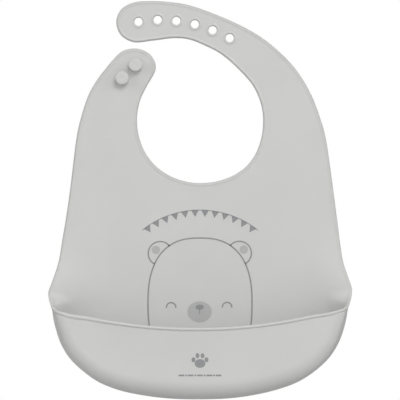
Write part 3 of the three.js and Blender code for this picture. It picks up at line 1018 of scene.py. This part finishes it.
# Lengths here are in metres.
CAMERA_DISTANCE = 4.0
CAMERA_SENSOR = 36          # this one in millimetres, as Blender has it
CAMERA_REACH = 50           # how far it sees
VIEW_WIDTH = 0.3046         # the height and width of what the camera frames, at the sheet
VIEW_CENTRE = (0.0, -0.0609)
FLOOR_Z = -0.30
FLOOR_RADIUS = 2.2
FLOOR_SIDES = 96


def build_floor():
    """A pale round floor under the hanging bib."""
    turns = [360 * k / FLOOR_SIDES for k in range(FLOOR_SIDES)]
    points = [(*on_circle(FLOOR_RADIUS / MM, turn), FLOOR_Z / MM) for turn in turns]
    floor = new_object("floor", points, [tuple(range(FLOOR_SIDES))], floor_material())


# Each light: the way it lies from the bib in degrees, its size in metres, and what it adds to
# a surface that faces it, where 1 would show a white surface as white.
STUDIO_LIGHTS = {
    "key": (17, 35, 2.2, 0.40),
    "front": (-4, 14, 2.0, 0.15),
    "left_fill": (-64, 20, 3.2, 0.255),
    "right_fill": (66, 20, 3.2, 0.235),
    "back_fill": (200, 25, 3.6, 0.50),
}
AROUND = 0.11               # the world's dimmest brightness, as light
BRIGHT_WAY = (0, -0.6, 0.8)
FROM_BRIGHT_WAY = 0.30      # what it gains towards that way, in front and above
LIGHT_DISTANCE = 5.0
AIM = Vector((0.0, 0.0, -0.06))


def build_lights():
    """Soft round lights, all aimed at the middle of the bib."""
    for name, (azimuth, elevation, size, share) in STUDIO_LIGHTS.items():
        side, up = math.radians(azimuth), math.radians(elevation)
        way = Vector((math.sin(side) * math.cos(up), -math.cos(side) * math.cos(up), math.sin(up)))
        data = bpy.data.lights.new(name, "AREA")
        data.shape = "DISK"
        data.size = size
        data.energy = share * (math.pi * LIGHT_DISTANCE) ** 2
        light = bpy.data.objects.new(name, data)
        light.location = AIM + LIGHT_DISTANCE * way
        light.rotation_euler = way.to_track_quat("Z", "Y").to_euler()
        bpy.context.scene.collection.objects.link(light)


def build_world():
    """White to the eye. As light it is brightest in front and above, so that forms show."""
    world = bpy.data.worlds.new("studio")
    world.use_nodes = True
    tree = world.node_tree
    tree.nodes.clear()
    output = tree.nodes.new("ShaderNodeOutputWorld")
    mix = tree.nodes.new("ShaderNodeMixShader")
    path = tree.nodes.new("ShaderNodeLightPath")
    light = tree.nodes.new("ShaderNodeBackground")
    seen = tree.nodes.new("ShaderNodeBackground")
    seen.inputs["Color"].default_value = (1, 1, 1, 1)
    way = tree.nodes.new("ShaderNodeTexCoord")
    towards = tree.nodes.new("ShaderNodeVectorMath")
    towards.operation = "DOT_PRODUCT"
    towards.inputs[1].default_value = BRIGHT_WAY
    tree.links.new(way.outputs["Generated"], towards.inputs[0])
    brightest = AROUND + FROM_BRIGHT_WAY
    strength = mapped(tree, towards.outputs["Value"], AROUND, brightest, given=(0, 1))
    tree.links.new(strength, light.inputs["Strength"])
    tree.links.new(path.outputs["Is Camera Ray"], mix.inputs["Fac"])
    tree.links.new(light.outputs["Background"], mix.inputs[1])
    tree.links.new(seen.outputs["Background"], mix.inputs[2])
    tree.links.new(mix.outputs["Shader"], output.inputs["Surface"])
    bpy.context.scene.world = world
    bpy.context.scene.view_settings.view_transform = "Standard"


def build_camera():
    """Straight from the front."""
    data = bpy.data.cameras.new("camera")
    data.sensor_width = CAMERA_SENSOR
    data.lens = CAMERA_SENSOR * CAMERA_DISTANCE / VIEW_WIDTH
    data.clip_end = CAMERA_REACH
    camera = bpy.data.objects.new("camera", data)
    camera.location = (VIEW_CENTRE[0], -CAMERA_DISTANCE, VIEW_CENTRE[1])
    camera.rotation_euler = (math.pi / 2, 0, 0)
    bpy.context.scene.collection.objects.link(camera)
    bpy.context.scene.camera = camera


# ---- putting it together ---------------------------------


def blend_across(piece):
    """Bakes a strap skin's transform into its mesh."""
    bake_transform(piece)


def finish_piece(nodes):
    """Hides the CAD nodes that the piece stands for."""
    if nodes:
        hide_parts(*nodes)


def build_sheet(silicone):
    """The flat sheet's skins: the panel and each strap's pieces, baked in place, with the CAD
    nodes they stand for hidden.
    """
    skins = sheet_pieces(silicone)
    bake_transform(skins["front_panel"])
    finish_piece(["yoke_panel", "belly_panel"])

    for name, joint_name in {**STUD_SKINS, **HOLE_SKINS}.items():
        blend_across(skins[name])
        finish_piece([name.removesuffix("_skin")])


def build_pocket(silicone):
    """The pocket's skin, whose walls run between the sheet and the front."""
    shell = pocket_shell(silicone)
    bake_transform(shell)
    finish_piece(["pocket_front", "pocket_floor", "pocket_left_wall", "pocket_right_wall"])


def build_studs(silicone):
    """The two studs on the short strap's tip."""
    for name, centre in STUD_CENTRES.items():
        peg = stud(name + "_peg", centre, silicone)
        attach(peg, "stud_tab")
        finish_piece([name])


def build_prints():
    """The printed face and garland on the belly, and the paw on the pocket."""
    line_ink = ink_material("ink_grey", *LINE_INK)
    soft_ink = ink_material("ink_soft_grey", *SOFT_INK)
    prints = [
        ("face_lines", face_lines(), belly_y, line_ink, "belly", ["face_print"]),
        ("ear_fills", ear_fills(), belly_y, soft_ink, "belly", []),
        ("muzzle", muzzle(), belly_y, soft_ink, "belly", []),
        ("nose", nose(), nose_y, line_ink, "belly", []),
        ("garland", garland(), belly_y, line_ink, "belly", []),
        ("paw_mark", paw_mark(), pocket_front_y, line_ink, "front_wall", ["pocket_mark"]),
    ]
    for name, outlines, surface, ink, body, nodes in prints:
        piece = ink_piece(name, outlines, surface, ink)
        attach(piece, body)
        finish_piece(nodes)


def build_bib():
    """Every piece of the bib, the printed ones last."""
    silicone = silicone_material()
    build_sheet(silicone)
    build_pocket(silicone)
    build_studs(silicone)
    build_prints()


build_camera()
build_world()
build_lights()
build_floor()
build_bib()
